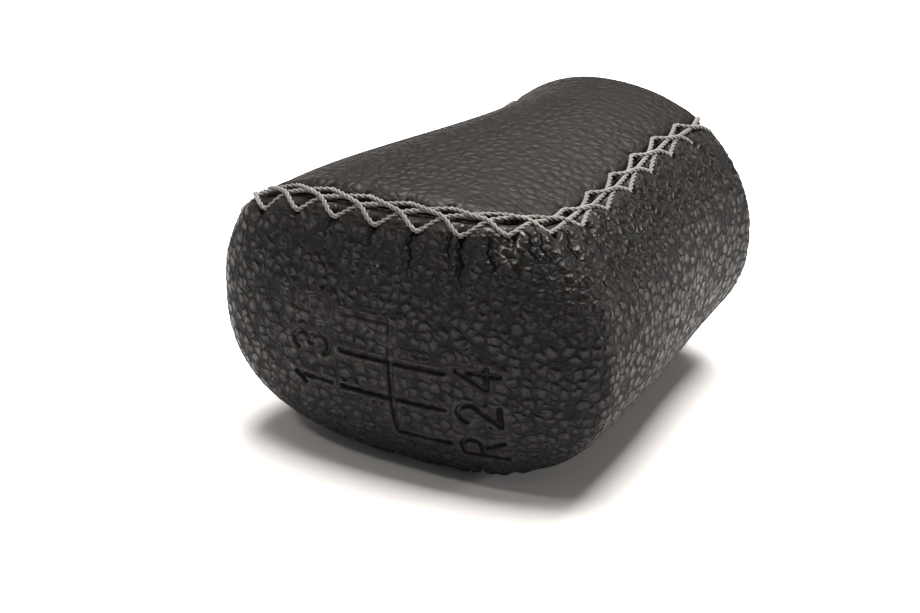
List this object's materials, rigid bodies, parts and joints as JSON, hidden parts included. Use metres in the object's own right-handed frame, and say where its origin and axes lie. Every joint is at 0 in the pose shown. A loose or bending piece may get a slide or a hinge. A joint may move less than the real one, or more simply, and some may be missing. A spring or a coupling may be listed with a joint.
{
  "type": "gear knob",
  "caption": "Leather-wrapped gear knob for a manual shift lever: hand-laced side panels, a shift pattern pressed into the crown and a blind bore for the lever.",
  "frame": {"origin": "middle of the footprint, on the surface that the knob lies on", "axes": "+Y from the crown to the lever end along the lever, -X the knob's front, +Z the knob's right side, which faces up as the knob lies on its left side"},
  "size_m": [0.0616, 0.0682, 0.0436],
  "materials": {
    "leather": "pebble grain, soft sheen",
    "side_leather": "flat grain, matt",
    "grey_thread": "twisted thread",
    "moulded_core": "as moulded",
    "steel": "turned",
    "black_plastic": "fine grain"
  },
  "bodies": {
    "root": {"leather_wrap": "leather", "right_side_panel": "side_leather", "left_side_panel": "side_leather", "right_lacing": "grey_thread", "left_lacing": "grey_thread", "knob_core": "moulded_core", "lever_insert": "steel", "base_collar": "black_plastic"}
  },
  "joints": []
}
